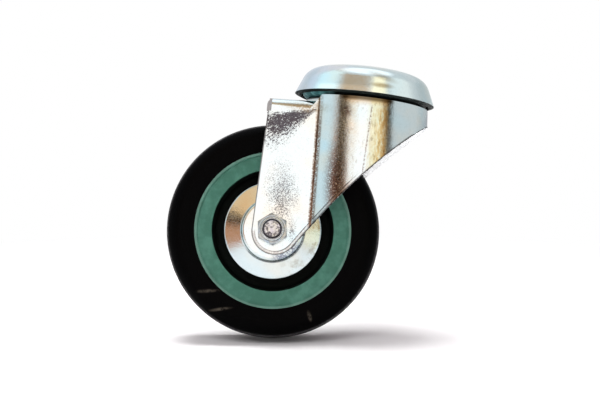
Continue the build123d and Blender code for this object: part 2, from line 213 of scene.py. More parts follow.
capLook = {
    "rimRadius": 0.0332,
    "rimHeight": -0.0139,
    "skirtSlope": 0.4245,               # how the skirt draws in on its way up
    "inside": (0.010, 0.014, 0.013),    # painted shade: dark underside
    "insideDepth": (0.0005, 0.0009),    # measured inwards from the skirt's outer face
    "insideHeight": (-0.0040, -0.0065),
    "rimFace": (-0.01388, -0.01396),
    "insideRoughness": 0.35,
    "near": (-0.018, -0.022),           # the painted reflection and highlight lie on the near side only
    "oliveReflection": (0.165, 0.125, 0.050),     # painted reflection: an olive band on the near right of the skirt
    "oliveReflectionShare": 0.72,
    "oliveReflectionGrain": (0.25, 0.50),
    "oliveReflectionSpot": ((0.0066, -0.0101), (0.0072, 0.0018), 0.0, 0.8),
    "upperSpot": ((0.0062, -0.0058), (0.0098, 0.0021), -14.0, 0.9),
    "upperShare": 0.75,
    "pale": (0.80, 0.86, 0.84),         # painted highlight: paler zinc along the rim below the tan glare
    "paleShare": 0.5,
    "paleHeight": (-0.0104, -0.0126),
    "paleSpan": (-0.0200, 0.0010, 0.0050),
    "specular": 0.05,
}


def capZinc():
    look = capLook
    paint = Paint(bpy.data.materials.new("capZinc"))
    place = paint.place()
    x, y, z = paint.xyz(place)
    tint, rough, normal, grain = zincParts(paint, place, zincLook)
    near = y.between(*look["near"])
    # painted reflection: olive bands between and above the gold glints on the skirt
    oliveReflection = sideSpot(x, z, *look["oliveReflectionSpot"])
    oliveReflection = oliveReflection.most(sideSpot(x, z, *look["upperSpot"]) * look["upperShare"])
    oliveReflection = oliveReflection * near * grain.between(*look["oliveReflectionGrain"]) * look["oliveReflectionShare"]
    tint = paint.mix(oliveReflection, tint, look["oliveReflection"])
    # painted highlight: paler zinc along the rim below the tan reflection
    pale = z.between(*look["paleHeight"]) * x.band(*look["paleSpan"]) * near
    tint = paint.mix(pale * look["paleShare"], tint, look["pale"])
    # painted shade: the underside inside the rim and the rim's lower face are painted dark
    rim = look["rimRadius"] - (z - look["rimHeight"]) * look["skirtSlope"]
    under = rim - (x * x + y * y).root()
    under = under.between(*look["insideDepth"]) * z.between(*look["insideHeight"])
    under = under.most(z.between(*look["rimFace"]))
    tint = paint.mix(under, tint, look["inside"])
    return paint.finish(Base_Color=tint, Metallic=1.0 - under, Normal=normal,
                        Roughness=rough + under * look["insideRoughness"],
                        Specular_IOR_Level=look["specular"])


forkLook = {
    # lower outline in the side view
    "legEnd": (-0.0348, -0.0815, 0.0108),           # middle and radius of the rounded leg end
    "rearLean": 1.4,
    "edgeArc": (0.23395, -0.26140, 0.31260),        # middle and radius of the bowed lower edge
    "edgeAngle": 56.2,
    "endBlend": 0.0001,                             # where the leg end's circle gives way to it
    "speckleSize": 0.00075,                         # breaks up every stain
    # crown: painted shade, yellow under its top edge and darker above that; a painted brown
    # reflection low down on its left
    "crownOut": (0.0235, 0.0250),                   # how far out the crown's face lies
    "crownWarm": (0.43, 0.36, 0.235),
    "warmShare": 0.9,
    "warmHeight": (-0.0208, -0.0168),
    "warmSpan": (-0.0090, 0.0100, 0.0020),
    "crownShade": (0.105, 0.085, 0.055),
    "shadeHeight": (-0.0186, -0.0168),
    "shadeSpan": (-0.0100, 0.0110, 0.0030),
    "brown": (0.115, 0.064, 0.046),
    "brownShare": 0.88,
    "lowSpot": ((-0.0101, -0.0560), (0.0068, 0.0260), 4.0, 0.9),
    "lowBreak": (0.36, 0.50),
    "cornerSpot": ((-0.0085, -0.0232), (0.0042, 0.0045), 25.0, 0.9),
    "cornerBreak": (0.30, 0.55),
    # crown: a painted broken brown reflection line beside the highlight, the painted golden
    # reflection zone and grime over both
    "lineAt": 0.0031,
    "lineDrift": 0.034,
    "lineWander": 0.0016,
    "lineWidth": (0.00055, 0.00010),
    "lineDepth": (0.003, 0.005),
    "lineBreak": (0.42, 0.56),
    "lineShare": 0.75,
    "streakSize": 0.0012,
    "streakStretch": (1, 1, 0.35),
    "golden": (0.42, 0.345, 0.19),
    "goldenSpan": (0.0036, 0.0108, 0.0008),
    "goldenDepth": (0.003, 0.006),
    "goldenBreak": (0.36, 0.56),
    "goldenRise": (0.0046, 0.0085, 0.30, 0.90),
    "grime": (0.125, 0.095, 0.050),
    "grimeBreak": (0.56, 0.66),
    "grimeSpan": (-0.0125, 0.0112, 0.0020),
    "grimeRise": (0.0030, 0.0060, 0.25, 0.60),
    # painted shade in the crease between crown and leg
    "crease": (0.150, 0.105, 0.078),
    "creaseShare": 0.90,
    "creaseFoot": -0.0225,                          # it starts here at the fork's top
    "creaseDrift": 0.0334,
    "creaseWander": 0.0014,
    "creaseSpan": (0.0009, 0.0027, 0.0009),
    "creaseIn": (0.0212, 0.0218),
    "creaseOut": (0.0255, 0.0240),
    "creaseDepth": (0.004, 0.016, 0.45, 1.0),
    "creaseBreak": (0.34, 0.54),
    # dull crystals on the leg where the zinc lies thin
    "speck": (0.030, 0.022, 0.036),
    "speckShare": 0.93,
    "speckRoughness": 0.2,
    "speckSize": 0.00037,
    "legOut": (0.0212, 0.0217),
    "legFront": (-0.0190, -0.0205),
    "cloudSize": 0.0040,
    "fanTip": (-0.0212, -0.0228),
    "fanOpens": (0.12, 0.34),                       # angles from the rearward way, in radians
    "fanCloses": (1.05, 0.50),
    "fanStart": (0.0003, 0.0020),
    "fanReach": (0.0340, 0.0187),
    "fanRays": (500.0, 26.0),                       # noise along and across the rays
    "fanMix": (0.60, 0.40),                         # even specks, and specks along the rays
    "fanPull": 0.17,
    "fanCloud": 0.12,
    "fanBreak": (0.610, 0.672),
    "fanEdge": (0.0, 0.22),
    "patchSpot": ((-0.0335, -0.0640), (0.0110, 0.0235), 8.0, 1.0),
    "streamSpot": ((-0.0272, -0.0800), (0.0034, 0.0125), 8.0, 1.0),
    "streamShare": 0.75,
    "patchPull": 0.17,
    "patchCloud": 0.20,
    "patchBreak": (0.715, 0.775),
    "patchEdge": (0.0, 0.30),
    "patchShare": 0.80,
    # painted shade along the sheared edge, a painted grey band for the rounded brink inside it and
    # a painted dark line inside that
    "outside": (0.0200, 0.0216),
    "edge": (0.060, 0.058, 0.060),
    "edgeWidth": (0.00070, 0.00025),
    "edgeFar": (-0.002, 0.002, 1.0, 0.35),          # fainter on the far side
    "edgeShare": 0.85,
    "brinkFront": (-0.0340, -0.0300),
    "brinkLow": (-0.0810, -0.0835),
    "brinkEnd": (0.0020, -0.0060),
    "roll": (0.320, 0.320, 0.310),
    "rollSpan": (0.0004, 0.00150, 0.0003),
    "rollBreak": (0.25, 0.60),
    "rollShare": 0.85,
    "rollLineSpan": (0.00150, 0.00170, 0.0002),
    "rollLineBreak": (0.30, 0.50),
    "rollLineRise": (-0.0400, -0.0300, 0.3, 0.9),
    # cream painted reflection at the top of the leg, cut end of the rear lip
    "cream": (0.27, 0.22, 0.14),
    "creamSpot": ((-0.0270, -0.0225), (0.0150, 0.0040), 0.0, 0.9),
    "creamBreak": (0.30, 0.60),
    "creamShare": 0.8,
    "lipEnd": (0.110, 0.105, 0.110),
    "lipSpan": (0.01795, 0.0186, 0.0001),
    "lipRear": (-0.0412, -0.0415),
    "lipTop": (-0.0272, -0.0269),
    "lipShare": (0.55, 0.5),                        # plain, and with the speckle
    # the inside is duller, and painted paler in place of the light on it
    "inside": (0.80, 0.82, 0.83),
    "insideDull": 0.85,
    "insideRoughness": 0.3,
    "legsIn": (0.0200, 0.0197),
    "legsFront": (-0.0170, -0.0190),
    "legsRear": (-0.0415, -0.0405),
    "legsTop": (-0.0216, -0.0222),
    "crownIn": (0.0294, 0.02915),
    "crownFront": (-0.0130, -0.0115),
    "insideGlow": 0.60,                             # white light thrown back inside the front
    "glowFront": (0.002, 0.008),
    "crownTop": (0.010, 0.018, 0.018),              # painted shade: dark under the cap
    "topHeight": (-0.0178, -0.0170),
    "topIn": (0.0296, 0.0290),
    "specular": 0.1,
}


# how far a point of the side view lies inside the fork's lower outline
def forkInset(x, z):
    endX, endZ, endRadius = forkLook["legEnd"]
    arcX, arcZ, arcRadius = forkLook["edgeArc"]
    lean, slope = math.radians(forkLook["rearLean"]), math.radians(forkLook["edgeAngle"])
    dx, dz = x - endX, z - endZ
    rear = dx * math.cos(lean) - dz * math.sin(lean) + endRadius
    ax, az = x - arcX, z - arcZ
    arc = (ax * ax + az * az).root() - arcRadius
    above = (dx * math.cos(slope) + dz * math.sin(slope)).most(dz)
    above = above.between(0.0, forkLook["endBlend"])
    end = endRadius - (dx * dx + dz * dz).root() + above
    return rear.least(arc).least(end)


# painted shade and painted reflections on the crown, with grime over them
def crownShadeReflectionsAndGrime(paint, place, speckle, tint):
    look = forkLook
    x, y, z = paint.xyz(place)
    depth = forkTop - z
    onCrown = abs(y).between(*look["crownOut"])
    # painted shade: tan under the top edge and darker brown above that, fading from the dark under
    # the cap
    warm = z.between(*look["warmHeight"]) * x.band(*look["warmSpan"]) * onCrown
    tint = paint.mix(warm * look["warmShare"], tint, look["crownWarm"])
    shade = z.between(*look["shadeHeight"]) * x.band(*look["shadeSpan"]) * onCrown
    tint = paint.mix(shade, tint, look["crownShade"])
    # painted reflection: the brown band, low down on the left and at the top left corner
    low = sideSpot(x, z, *look["lowSpot"]) * speckle.between(*look["lowBreak"]) * onCrown
    corner = sideSpot(x, z, *look["cornerSpot"]) * speckle.between(*look["cornerBreak"]) * onCrown
    tint = paint.mix(low.most(corner) * look["brownShare"], tint, look["brown"])
    # painted reflection: a broken brown line beside the highlight
    off = x - look["lineAt"] + depth * look["lineDrift"] - (speckle - 0.5) * look["lineWander"]
    line = abs(off).between(*look["lineWidth"]) * depth.between(*look["lineDepth"])
    line = line * speckle.between(*look["lineBreak"]) * onCrown
    streak = paint.moved(place, stretch=look["streakStretch"])
    streak = paint.noise(streak, look["streakSize"], 4.0, 0.7)
    # painted reflection: the golden zone beside the highlight
    golden = x.band(*look["goldenSpan"]) * depth.between(*look["goldenDepth"])
    golden = golden * streak.between(*look["goldenBreak"]) * onCrown
    tint = paint.mix(golden * x.between(*look["goldenRise"]), tint, look["golden"])
    tint = paint.mix(line * look["lineShare"], tint, look["brown"])
    grime = streak.between(*look["grimeBreak"]) * x.band(*look["grimeSpan"]) * onCrown
    return paint.mix(grime * x.between(*look["grimeRise"]), tint, look["grime"])


def creaseShade(paint, place, speckle, tint):
    look = forkLook
    x, y, z = paint.xyz(place)
    depth = forkTop - z
    along = x - look["creaseFoot"] - depth * look["creaseDrift"]
    along = along + (speckle - 0.5) * look["creaseWander"]
    crease = along.band(*look["creaseSpan"]) * depth.between(*look["creaseDepth"])
    crease = crease * abs(y).between(*look["creaseIn"]) * abs(y).between(*look["creaseOut"])
    crease = crease * speckle.between(*look["creaseBreak"]) * look["creaseShare"]
    return paint.mix(crease, tint, look["crease"])


# dull specks on the leg: a fan that opens rearwards from the crease, and a loose oval over the nut
def legSpecks(paint, place):
    look = forkLook
    x, y, z = paint.xyz(place)
    dx, dz = look["fanTip"][0] - x, look["fanTip"][1] - z
    reach = (dx * dx + dz * dz).root()
    turn = dz.angle(dx)
    fan = turn.between(*look["fanOpens"]) * turn.between(*look["fanCloses"])
    fan = fan * reach.between(*look["fanStart"]) * reach.between(*look["fanReach"])
    oval = sideSpot(x, z, *look["patchSpot"])
    oval = oval.most(sideSpot(x, z, *look["streamSpot"]) * look["streamShare"])
    fine = paint.noise(place, look["speckSize"], 3.0, 0.7)
    along, across = look["fanRays"]
    rays = paint.noise(paint.joined(reach * along, turn * across, 0.0), 1.0, 3.0, 0.6)
    cloud = paint.noise(place, look["cloudSize"], 3.0, 0.6)
    fineShare, rayShare = look["fanMix"]
    dark = fine * fineShare + rays * rayShare + fan * look["fanPull"] + cloud * look["fanCloud"]
    dark = dark.between(*look["fanBreak"]) * fan.between(*look["fanEdge"])
    loose = fine + oval * look["patchPull"] + cloud * look["patchCloud"]
    loose = loose.between(*look["patchBreak"]) * oval.between(*look["patchEdge"])
    onLeg = abs(y).between(*look["legOut"]) * x.between(*look["legFront"])
    return dark.most(loose * look["patchShare"]) * onLeg


def edgeShade(paint, place, speckle, tint):
    look = forkLook
    x, y, z = paint.xyz(place)
    inset = forkInset(x, z)
    outside = abs(y).between(*look["outside"])
    brink = x.between(*look["brinkFront"]).most(z.between(*look["brinkLow"]))
    brink = brink * x.between(*look["brinkEnd"]) * outside
    # painted shade: a grey band and a dark line just inside the edge, for its rounded brink
    roll = inset.band(*look["rollSpan"]) * brink * speckle.between(*look["rollBreak"])
    tint = paint.mix(roll * look["rollShare"], tint, look["roll"])
    line = inset.band(*look["rollLineSpan"]) * brink * speckle.between(*look["rollLineBreak"])
    tint = paint.mix(line * x.between(*look["rollLineRise"]), tint, look["edge"])
    # painted shade: a dark line along the edge
    edge = inset.between(*look["edgeWidth"]) * outside * y.between(*look["edgeFar"])
    tint = paint.mix(edge * look["edgeShare"], tint, look["edge"])
    # painted reflection: cream along the top of the leg below its bend
    cream = sideSpot(x, z, *look["creamSpot"]) * outside * speckle.between(*look["creamBreak"])
    tint = paint.mix(cream * look["creamShare"], tint, look["cream"])
    lip = abs(y).band(*look["lipSpan"]) * x.between(*look["lipRear"]) * z.between(*look["lipTop"])
    plain, speckled = look["lipShare"]
    return paint.mix(lip * (plain + speckle * speckled), tint, look["lipEnd"])


# masks of the fork's inner face, of its crown alone and of the crown's top in painted shade under
# the cap
def forkInside(x, y, z):
    look = forkLook
    radius = (x * x + y * y).root()
    inLegs = abs(y).between(*look["legsIn"]) * x.between(*look["legsFront"])
    inLegs = inLegs * x.between(*look["legsRear"]) * z.between(*look["legsTop"])
    inCrown = radius.between(*look["crownIn"]) * x.between(*look["crownFront"])
    shadedTop = z.between(*look["topHeight"]) * radius.between(*look["topIn"])
    return inLegs.most(inCrown), inCrown, shadedTop


def forkZinc():
    look = forkLook
    paint = Paint(bpy.data.materials.new("forkZinc"))
    place = paint.place()
    x, y, z = paint.xyz(place)
    tint, rough, normal, grain = zincParts(paint, place, zincLook)
    speckle = paint.noise(place, look["speckleSize"], 4.0, 0.7)
    tint = crownShadeReflectionsAndGrime(paint, place, speckle, tint)
    tint = creaseShade(paint, place, speckle, tint)
    specks = legSpecks(paint, place)
    tint = paint.mix(specks * look["speckShare"], tint, look["speck"])
    tint = edgeShade(paint, place, speckle, tint)
    inside, inCrown, shadedTop = forkInside(x, y, z)
    # painted light: the inner face paler than the zinc
    tint = paint.mix(inside, tint, look["inside"])
    # painted shade: the crown's top dark under the cap
    tint = paint.mix(shadedTop, tint, look["crownTop"])
    glow = inCrown * x.between(*look["glowFront"]) * (1.0 - shadedTop)
    glow = paint.mix(glow, (0.0, 0.0, 0.0), (look["insideGlow"],) * 3)
    rough = rough + specks * look["speckRoughness"] + inside * look["insideRoughness"]
    return paint.finish(Base_Color=tint, Metallic=1.0 - inside.most(shadedTop) * look["insideDull"],
                        Roughness=rough, Specular_IOR_Level=look["specular"], Normal=normal,
                        Emission_Color=glow, Emission_Strength=1.0)


cupLook = {
    "dark": (0.075, 0.260, 0.270),
    "sheen": (0.30, 0.70, 0.72),
    "shade": (0.006, 0.009, 0.009),     # towards the crown
    "shadeFrom": (-0.0200, -0.0130),
    "blotchSize": 0.006,
    "blotchRange": (0.40, 0.66),
    "lineSize": 0.0016,
    "lineStretch": (1, 1, 14),
    "lineDepth": 0.000006,
    "roughness": 0.42,
    "lineRoughness": 0.12,
    "metal": 0.2,
    "specular": 0.15,
}


# the bowl under the cap, painted dark teal for the shade it lies in
def cupSteel():
    look = cupLook
    paint = Paint(bpy.data.materials.new("cupSteel"))
    place = paint.place()
    x, y, z = paint.xyz(place)
    blotch = paint.noise(place, look["blotchSize"], 3.0, 0.6).between(*look["blotchRange"])
    colour = paint.mix(blotch, look["dark"], look["sheen"])
    colour = paint.mix(x.between(*look["shadeFrom"]), colour, look["shade"])
    lines = paint.noise(paint.moved(place, stretch=look["lineStretch"]), look["lineSize"])
    return paint.finish(Base_Color=colour, Metallic=look["metal"],
                        Roughness=look["roughness"] + lines * look["lineRoughness"],
                        Specular_IOR_Level=look["specular"],
                        Normal=paint.bump(lines, look["lineDepth"]))


nutLook = {
    "face": {"plain": (0.29, 0.32, 0.335), "warm": (0.40, 0.385, 0.315),
             "cool": (0.27, 0.33, 0.38), "tintSize": 0.0040, "roughness": 0.20},
    # painted highlight: a pale ring at the inner edge of the collar
    "ring": (0.52, 0.55, 0.55),
    "ringSpan": (0.00500, 0.00525, 0.0001),
    "ringOut": (0.0290, 0.0292),
    "ringShare": 0.8,
    # painted shade on the hex corners and at the nut's foot, less where the light falls
    "edge": (0.035, 0.033, 0.038),
    "edgeShare": 0.7,
    "cornerRadius": (0.00665, 0.00720),
    "cornerOut": (0.0262, 0.0268),
    "footOut": (0.02245, 0.02215),
    "litFrom": (0.004, -0.004),         # the upper left corners catch the light
    "litCorner": 0.8,
    "litFoot": 0.5,
}


def nutZinc():
    look = nutLook
    paint = Paint(bpy.data.materials.new("nutZinc"))
    place = paint.place()
    x, y, z = paint.xyz(place)
    tint, rough, normal, grain = zincParts(paint, place, dict(zincLook, **look["face"]))
    radius, out = wheelPlace(paint)
    # painted highlight: the pale ring at the inner edge of the collar
    ring = radius.band(*look["ringSpan"]) * out.between(*look["ringOut"])
    tint = paint.mix(ring * look["ringShare"], tint, look["ring"])
    lit = (x - wheelCentre.x - (z - wheelCentre.z)).between(*look["litFrom"])
    # painted shade on the hex corners and at the foot, lighter on the upper left
    corner = radius.between(*look["cornerRadius"]) * out.between(*look["cornerOut"])
    corner = corner * (1.0 - lit * look["litCorner"])
    foot = out.between(*look["footOut"]) * (1.0 - lit * look["litFoot"])
    tint = paint.mix(corner.most(foot) * look["edgeShare"], tint, look["edge"])
    return paint.finish(Base_Color=tint, Metallic=1.0, Roughness=rough, Normal=normal)


boltLook = {
    "face": {"plain": (0.44, 0.45, 0.46), "warm": (0.47, 0.47, 0.40),
             "cool": (0.43, 0.42, 0.50), "tintSize": 0.0024, "roughness": 0.24},
    "near": (-0.0225, -0.0230),
    "shade": (0.030, 0.024, 0.034),
    "shadeShare": 0.88,
    "blotchSize": 0.0011,
    "blotchRange": (0.50, 0.68),
    "blotchSpot": ((-0.0376, -0.0806), (0.0026, 0.0022), 0.0, 1.0),
    "spotPull": 0.13,
    "rimPull": 0.10,
    "rimRange": (0.0014, 0.0036),
    "faceRadius": (0.00345, 0.00375),
}


def boltZinc():
    look = boltLook
    paint = Paint(bpy.data.materials.new("boltZinc"))
    place = paint.place()
    x, y, z = paint.xyz(place)
    tint, rough, normal, grain = zincParts(paint, place, dict(zincLook, **look["face"]))
    radius, out = wheelPlace(paint)
    blotch = paint.noise(place, look["blotchSize"], 4.0, 0.65)
    blotch = blotch + sideSpot(x, z, *look["blotchSpot"]) * look["spotPull"]
    blotch = blotch + radius.between(*look["rimRange"]) * look["rimPull"]
    dark = blotch.between(*look["blotchRange"]).most(radius.between(*look["faceRadius"]))
    dark = dark * y.between(*look["near"]) * look["shadeShare"]
    tint = paint.mix(dark, tint, look["shade"])
    return paint.finish(Base_Color=tint, Metallic=1.0, Roughness=rough, Normal=normal)


insertLook = {
    "face": (0.38, 0.385, 0.375),
    "pale": (0.56, 0.57, 0.58),
    "paleRange": (0.3, 0.7),
    "shade": (0.012, 0.010, 0.014),     # round the bolt
    "shadeRadius": (0.00460, 0.00440),
    "grainSize": 0.0008,
    "grainDepth": 0.000006,
    "roughness": 0.40,
    "grainRoughness": 0.15,
    "specular": 0.3,
}


def insertNylon():
    look = insertLook
    paint = Paint(bpy.data.materials.new("insertNylon"))
    grain = paint.noise(paint.place(), look["grainSize"], 3.0)
    radius, out = wheelPlace(paint)
    colour = paint.mix(grain.between(*look["paleRange"]), look["face"], look["pale"])
    colour = paint.mix(radius.between(*look["shadeRadius"]), colour, look["shade"])
    return paint.finish(Base_Color=colour, Specular_IOR_Level=look["specular"],
                        Roughness=look["roughness"] + grain * look["grainRoughness"],
                        Normal=paint.bump(grain, look["grainDepth"]))


guardLook = {
    "speckleSize": 0.0008,
    "bossRadius": (0.0148, 0.0146),
    "bossGrey": (0.17, 0.20, 0.25),     # darker grey over the lower right of the boss
    "bossGreySpot": ((-0.0270, -0.0915), (0.0120, 0.0062), 35.0, 0.6),
    "bossGreyBreak": (0.34, 0.56),
    "smudge": (0.24, 0.21, 0.15),       # on the right of the dish
    "smudgeSize": 0.0048,
    "smudgeRange": (0.52, 0.66),
    "smudgeFrom": (-0.0330, -0.0240),
    "smudgeShare": 0.45,
    # painted reflection: warm colour on the upper left of the dish
    "warm": (0.47, 0.40, 0.30),
    "warmSpot": ((-0.0500, -0.0700), (0.0080, 0.0150), 0.0, 1.0),
    "warmShare": 0.5,
    "line": (0.050, 0.055, 0.062),      # shade in the step round the boss and at the rim
    "stepSpan": (0.0148, 0.0151, 0.0003),
    "stepLean": 0.5,
    "stepLow": (-0.001, -0.008, 0.1, 1.0),
    "stepBreak": (0.25, 0.50),
    "stepShare": 0.9,
    "rimRadius": (0.0223, 0.0227),
    "rimShare": 0.6,
}


def guardZinc():
    look = guardLook
    paint = Paint(bpy.data.materials.new("guardZinc"))
    place = paint.place()
    x, y, z = paint.xyz(place)
    tint, rough, normal, grain = zincParts(paint, place, zincLook)
    radius, out = wheelPlace(paint)
    # painted reflection: warm colour on the upper left of the dish
    warm = sideSpot(x, z, *look["warmSpot"])
    tint = paint.mix(warm * look["warmShare"], tint, look["warm"])
    speckle = paint.noise(place, look["speckleSize"], 4.0, 0.7)
    onBoss = radius.between(*look["bossRadius"])
    grey = sideSpot(x, z, *look["bossGreySpot"]) * onBoss
    tint = paint.mix(grey * speckle.between(*look["bossGreyBreak"]), tint, look["bossGrey"])
    smudge = paint.noise(place, look["smudgeSize"], 3.0, 0.6).between(*look["smudgeRange"])
    smudge = smudge * x.between(*look["smudgeFrom"]) * (1.0 - onBoss)
    tint = paint.mix(smudge * look["smudgeShare"], tint, look["smudge"])
    lower = z - wheelCentre.z - (x - wheelCentre.x) * look["stepLean"]
    step = radius.band(*look["stepSpan"]) * lower.between(*look["stepLow"])
    step = step * speckle.between(*look["stepBreak"]) * look["stepShare"]
    rim = radius.between(*look["rimRadius"]) * look["rimShare"]
    tint = paint.mix(step.most(rim), tint, look["line"])
    return paint.finish(Base_Color=tint, Metallic=1.0, Roughness=rough, Normal=normal)


steelLook = {
    "colour": (0.42, 0.43, 0.45),
    "grease": (0.10, 0.075, 0.045),
    "greaseSize": 0.004,
    "greaseRange": (0.48, 0.66),
    "greaseShare": 0.5,
    "greaseDull": 0.4,
    "greaseRoughness": 0.1,
    "lineSize": 0.0016,
    "lineStretch": (1, 1, 18),
    "lineDepth": 0.000004,
    "lineRoughness": 0.12,
    "roughness": 0.24,
}


def bearingSteel():
    look = steelLook
    paint = Paint(bpy.data.materials.new("bearingSteel"))
    place = paint.place()
    smear = paint.noise(place, look["greaseSize"], 3.0).between(*look["greaseRange"])
    lines = paint.noise(paint.moved(place, stretch=look["lineStretch"]), look["lineSize"])
    colour = paint.mix(smear * look["greaseShare"], look["colour"], look["grease"])
    rough = look["roughness"] + lines * look["lineRoughness"] + smear * look["greaseRoughness"]
    return paint.finish(Base_Color=colour, Metallic=1.0 - smear * look["greaseDull"],
                        Roughness=rough, Normal=paint.bump(lines, look["lineDepth"]))


coreLook = {
    "green": (0.038, 0.126, 0.090),
    "pale": (0.060, 0.174, 0.130),
    "paleRange": (0.35, 0.7),
    "flowSize": 0.006,
    # dust flecks, and a painted highlight line at the ring's outer edge, share this colour
    "dustAndSheen": (0.30, 0.36, 0.33),
    "fleckSize": 0.0007,
    "fleckRange": (0.62, 0.74),
    "fleckShare": 0.12,
    "edgeRadius": (0.0352, 0.0356),
    "edgeShare": 0.14,
    "deep": (0.0012, 0.0022, 0.0020),   # painted shade: the recess is painted nearly black
    "deepOut": (0.0151, 0.0124),
    "deepRadius": (0.0360, 0.0352),
    "deepShare": 0.99,
    "roughness": 0.42,
    "fleckRoughness": 0.1,
    "deepRoughness": 0.3,
    "grainSize": 0.0005,
    "grainDepth": 0.000006,
    "specular": 0.10,
}


def corePlastic():
    look = coreLook
    paint = Paint(bpy.data.materials.new("corePlastic"))
    place = paint.place()
    radius, out = wheelPlace(paint)
    flow = paint.noise(place, look["flowSize"], 3.0, 0.6)
    colour = paint.mix(flow.between(*look["paleRange"]), look["green"], look["pale"])
    fleck = paint.noise(place, look["fleckSize"], 3.0, 0.65).between(*look["fleckRange"])
    # dust flecks and a painted highlight along the ring's outer edge
    dustAndSheen = radius.between(*look["edgeRadius"]) * look["edgeShare"] + fleck * look["fleckShare"]
    colour = paint.mix(dustAndSheen, colour, look["dustAndSheen"])
    deep = out.between(*look["deepOut"]) * radius.between(*look["deepRadius"])
    colour = paint.mix(deep * look["deepShare"], colour, look["deep"])
    grain = paint.noise(place, look["grainSize"])
    rough = look["roughness"] + fleck * look["fleckRoughness"] + deep * look["deepRoughness"]
    return paint.finish(Base_Color=colour, Roughness=rough, Specular_IOR_Level=look["specular"],
                        Normal=paint.bump(grain, look["grainDepth"]))


tyreLook = {
    "rubber": (0.0009, 0.0009, 0.0010),
    "shoulderSheen": (0.24, 0.235, 0.24),       # painted sheen, grey, on the shoulder
    "sheenRadius": (0.0483, 0.0499),
    "sheenOut": (0.0085, 0.0135),
    "sheenSize": 0.0011,
    "sheenBreak": (0.20, 0.80),
    "dustAndSheen": (0.012, 0.011, 0.011),      # and a little dust and painted sheen on the tread
    "dustAndSheenRadius": (0.0486, 0.0499),
    "scuff": (0.055, 0.047, 0.037),
    "scuffSize": 0.0022,
    "scuffBreak": (0.30, 0.62),
    "scuffSide": (0.004, -0.004),       # the near side only
    "scuffs": [
        ((-0.0628, -0.1121), (0.0070, 0.0011), 9.0, 0.8),
        ((-0.0560, -0.1198), (0.0070, 0.0010), 14.0, 0.8),
        ((-0.0146, -0.1184), (0.0032, 0.0012), -68.0, 0.8),
    ],
    "grains": [(0.0004, 0.000008), (0.003, 0.00002)],       # size and depth
    "roughness": 0.40,
    "sheenRoughness": 0.25,
    "scuffRoughness": 0.2,
    "specular": 0.012,
}


def tyreRubber():
    look = tyreLook
    paint = Paint(bpy.data.materials.new("tyreRubber"))
    place = paint.place()
    x, y, z = paint.xyz(place)
    radius, out = wheelPlace(paint)
    marks = None
    for spot in look["scuffs"]:
        mark = sideSpot(x, z, *spot)
        marks = mark if marks is None else marks.most(mark)
    broken = paint.noise(place, look["scuffSize"], 3.0, 0.6).between(*look["scuffBreak"])
    marks = marks * broken * y.between(*look["scuffSide"])
    # painted sheen on the shoulder, and dust with painted sheen on the tread
    soft = paint.noise(place, look["sheenSize"], 4.0, 0.7).between(*look["sheenBreak"])
    sheenMask = radius.between(*look["sheenRadius"]) * out.between(*look["sheenOut"]) * soft
    dustAndSheen = radius.between(*look["dustAndSheenRadius"]) * soft
    colour = paint.mix(dustAndSheen, look["rubber"], look["dustAndSheen"])
    colour = paint.mix(sheenMask, colour, look["shoulderSheen"])
    colour = paint.mix(marks, colour, look["scuff"])
    normal = None
    for size, depth in look["grains"]:
        normal = paint.bump(paint.noise(place, size, 3.0), depth, normal)
    rough = look["roughness"] + sheenMask * look["sheenRoughness"] + marks * look["scuffRoughness"]
    return paint.finish(Base_Color=colour, Roughness=rough, Specular_IOR_Level=look["specular"],
                        Normal=normal)


cageLook = {
    "dark": (0.030, 0.030, 0.034),
    "pale": (0.055, 0.055, 0.060),
    "grainSize": 0.0006,
    "grainDepth": 0.000006,
    "roughness": 0.45,
    "grainRoughness": 0.1,
}


def cagePlastic():
    look = cageLook
    paint = Paint(bpy.data.materials.new("cagePlastic"))
    grain = paint.noise(paint.place(), look["grainSize"])
    return paint.finish(Base_Color=paint.mix(grain, look["dark"], look["pale"]),
                        Roughness=look["roughness"] + grain * look["grainRoughness"],
                        Normal=paint.bump(grain, look["grainDepth"]))


guard = guardZinc()
finishes = {
    "fork": forkZinc(), "top_cap": capZinc(), "bearing_cup": cupSteel(),
    "kingpin": zincPlate("kingpinZinc"), "axle_bolt": boltZinc(), "axle_nut": nutZinc(),
    "nut_insert": insertNylon(), "thread_guard_near": guard, "thread_guard_far": guard,
    "wheel_core": corePlastic(), "tyre": tyreRubber(), "roller_cage": cagePlastic(),
}
steel = bearingSteel()
for name, node in frame["nodes"].items():
    node.data.materials.clear()
    node.data.materials.append(finishes.get(name, steel))
print("finishes on", len(frame["nodes"]), "nodes")


# a geometry node tree with named inputs; sums on its fields work as in a material
class Grower(Paint):
    def __init__(self, name, sizes):
        self.tree = bpy.data.node_groups.new(name, "GeometryNodeTree")
        self.sizes = sizes
        for entry, kind in {"Geometry": "Geometry", **{size: "Float" for size in sizes}}.items():
            self.tree.interface.new_socket(entry, in_out="INPUT", socket_type="NodeSocket" + kind)
        self.tree.interface.new_socket("Geometry", in_out="OUTPUT",
                                       socket_type="NodeSocketGeometry")
        given = self.tree.nodes.new("NodeGroupInput").outputs
        self.given = {entry.name: Flow(self, entry) for entry in given if entry.name}

    # the tree's plain mesh, grown from the source object
    def grown(self, source, result, material):
        result = self.node("GeometryNodeRealizeInstances", None, {"Geometry": result})
        result = self.node("GeometryNodeSetMaterial", None,
                           {"Geometry": result, "Material": material})
        self.node("NodeGroupOutput", None, {"Geometry": result})
        modifier = source.modifiers.new(self.tree.name, "NODES")
        modifier.node_group = self.tree
        for entry in self.tree.interface.items_tree:
            if entry.in_out == "INPUT" and entry.name in self.sizes:
                modifier[entry.identifier] = self.sizes[entry.name]
        graph = bpy.context.evaluated_depsgraph_get()
        mesh = bpy.data.meshes.new_from_object(source.evaluated_get(graph))
        source.modifiers.remove(modifier)
        return mesh


